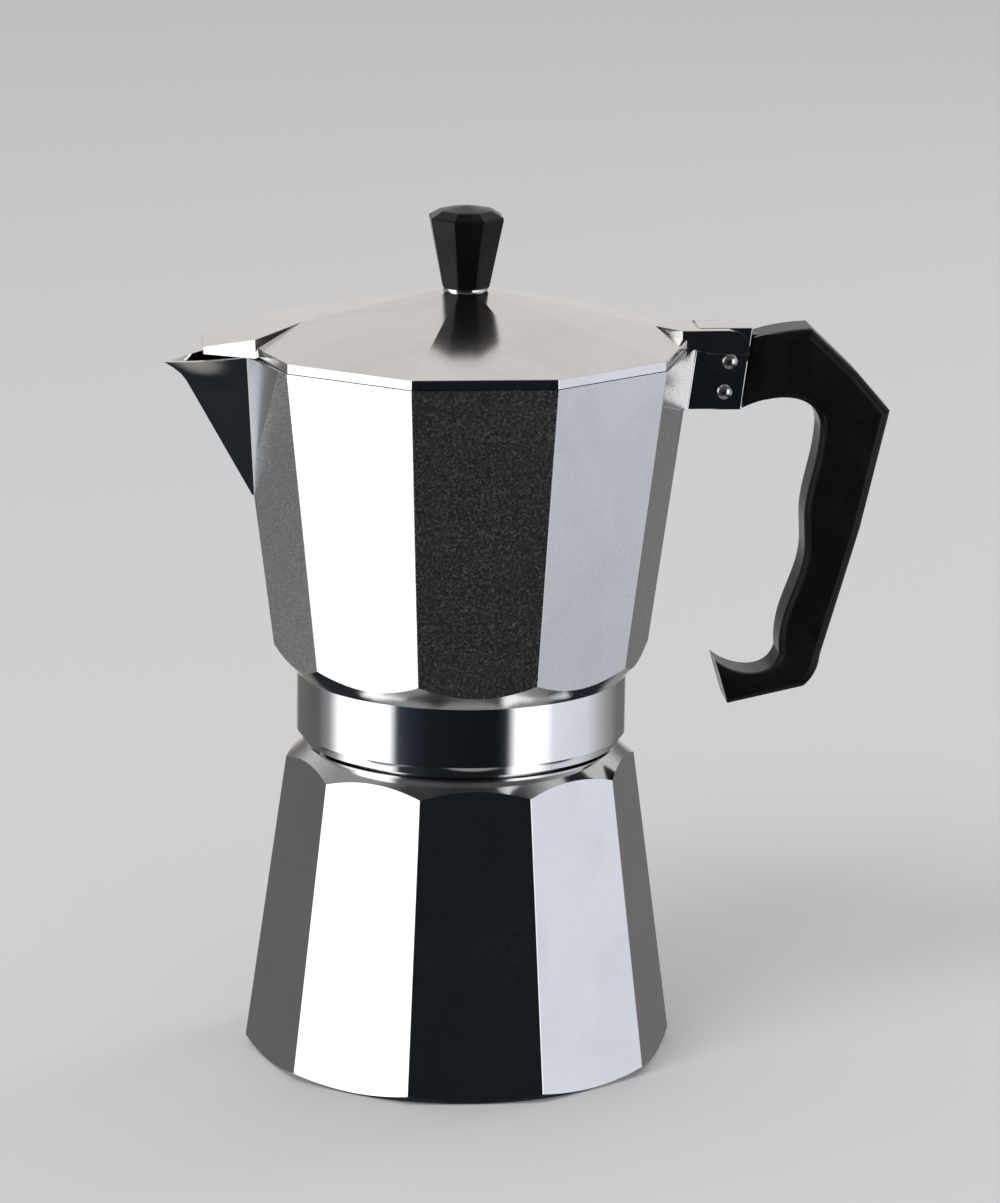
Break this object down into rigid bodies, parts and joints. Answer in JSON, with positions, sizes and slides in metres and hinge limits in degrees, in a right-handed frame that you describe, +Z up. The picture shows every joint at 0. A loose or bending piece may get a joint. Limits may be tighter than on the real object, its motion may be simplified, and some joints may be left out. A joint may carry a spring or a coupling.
{
  "type": "moka pot",
  "caption": "Ten-sided stovetop coffee maker with a screwed base, funnel, gasket, filter, spouted top, hinged lid, knob and hooked handle.",
  "frame": {"origin": "centre of the flat foot at floor level, on the pot's axis", "axes": "+Z up along the pot's axis, +X towards the handle, -X towards the spout"},
  "size_m": [0.183, 0.1104, 0.2186],
  "materials": {
    "cast_aluminium": "cast, turned and polished to a near mirror",
    "sheet_aluminium": "pressed and satin",
    "black_plastic": "moulded phenolic, half gloss",
    "brass": "turned",
    "fibre": "red fibre washer",
    "white_rubber": "white silicone rubber",
    "spring_steel": "drawn wire",
    "rivet_steel": "bright zinc plated"
  },
  "bodies": {
    "base": {"boiler": "cast_aluminium", "valve_body": "brass", "valve_washer": "fibre", "valve_nut": "brass", "valve_retainer": "brass", "valve_spring": "spring_steel"},
    "relief_poppet": {"valve_poppet": "brass"},
    "funnel": {"funnel_basket": "sheet_aluminium", "funnel_tube": "sheet_aluminium", "funnel_sieve": "sheet_aluminium"},
    "seal": {"gasket": "white_rubber", "filter_plate": "sheet_aluminium"},
    "top": {"collector": "cast_aluminium", "column_cap": "sheet_aluminium", "hinge_pin": "rivet_steel", "handle": "black_plastic", "handle_pin": "rivet_steel"},
    "cover": {"lid": "cast_aluminium", "knob": "black_plastic", "knob_insert": "brass", "knob_washer": "rivet_steel", "knob_screw": "rivet_steel"}
  },
  "joints": [
    {"name": "top_lift", "type": "slide", "parent": "base", "child": "funnel", "axis": [0, 0, 1], "range_m": [0, 0.1]},
    {"name": "thread_rise", "type": "slide", "parent": "funnel", "child": "seal", "axis": [0, 0, 1], "range_m": [0, 0.009]},
    {"name": "collector_turn", "type": "hinge", "parent": "seal", "child": "top", "pos_m": [0, 0, 0.09], "axis": [0, 0, 1], "range_deg": [0, 1080]},
    {"name": "lid_hinge", "type": "hinge", "parent": "top", "child": "cover", "pos_m": [0.0662, 0, 0.1798], "axis": [0, 1, 0], "range_deg": [0, 95]},
    {"name": "valve_lift", "type": "slide", "parent": "base", "child": "relief_poppet", "axis": [0, 0.9916, 0.1293], "range_m": [0, 0.0015], "stiffness_N_per_m": 2000, "springref_m": -0.002, "deforming": ["valve_spring"]}
  ],
  "couplings": [
    {"joint": "thread_rise", "follows": "collector_turn", "m_per_rad": 0.00047746}
  ]
}
